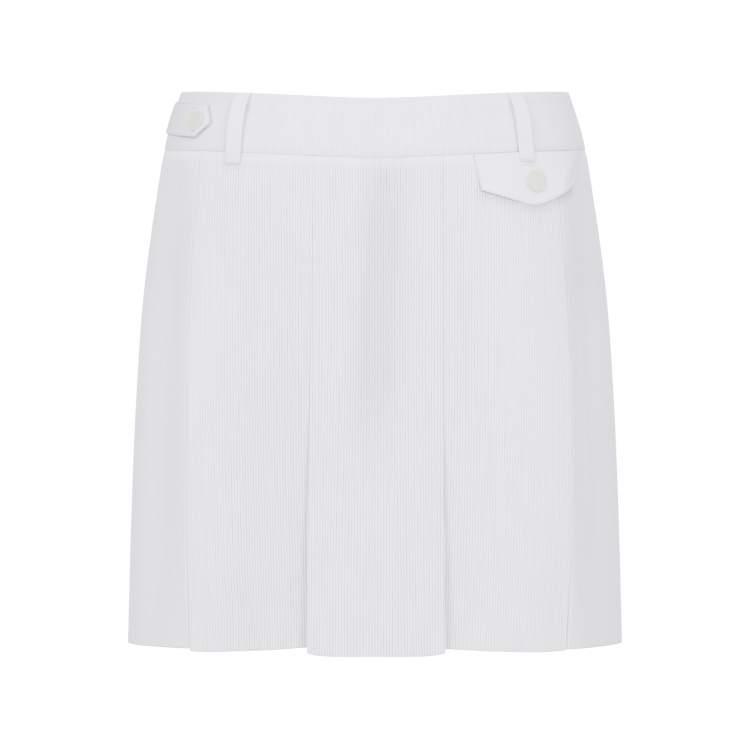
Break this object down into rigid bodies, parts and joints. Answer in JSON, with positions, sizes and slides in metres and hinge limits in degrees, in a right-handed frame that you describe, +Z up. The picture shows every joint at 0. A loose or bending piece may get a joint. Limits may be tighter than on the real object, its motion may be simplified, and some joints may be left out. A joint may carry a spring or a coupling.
{
  "type": "golf skirt",
  "caption": "Short pleated golf skirt with a broad waistband, belt loops, a snapped side tab and a snapped pocket flap.",
  "frame": {"origin": "middle of the waistband's opening, where the waist holds the skirt, at the height of the middle of the band at the sides", "axes": "+Z up, out of the waist; -Y towards the front; +X towards the side with the pocket flap"},
  "size_m": [0.3474, 0.2391, 0.3879],
  "materials": {
    "rib_cloth": "matt, finely ribbed, white",
    "smooth_cloth": "matt, smooth, white",
    "snap_cap": "satin, ivory"
  },
  "bodies": {
    "root": {"waistband_front": "rib_cloth", "waistband_back_left": "rib_cloth", "waistband_back_right": "rib_cloth", "front_pleated": "rib_cloth", "back_left": "rib_cloth", "back_right": "rib_cloth", "belt_loop_front_left": "smooth_cloth", "belt_loop_front_right": "smooth_cloth", "belt_loop_back_left": "smooth_cloth", "belt_loop_back_right": "smooth_cloth", "adjuster_tab": "smooth_cloth", "pocket_flap": "smooth_cloth", "snap_cap_tab": "snap_cap", "snap_cap_flap": "snap_cap"}
  },
  "joints": []
}
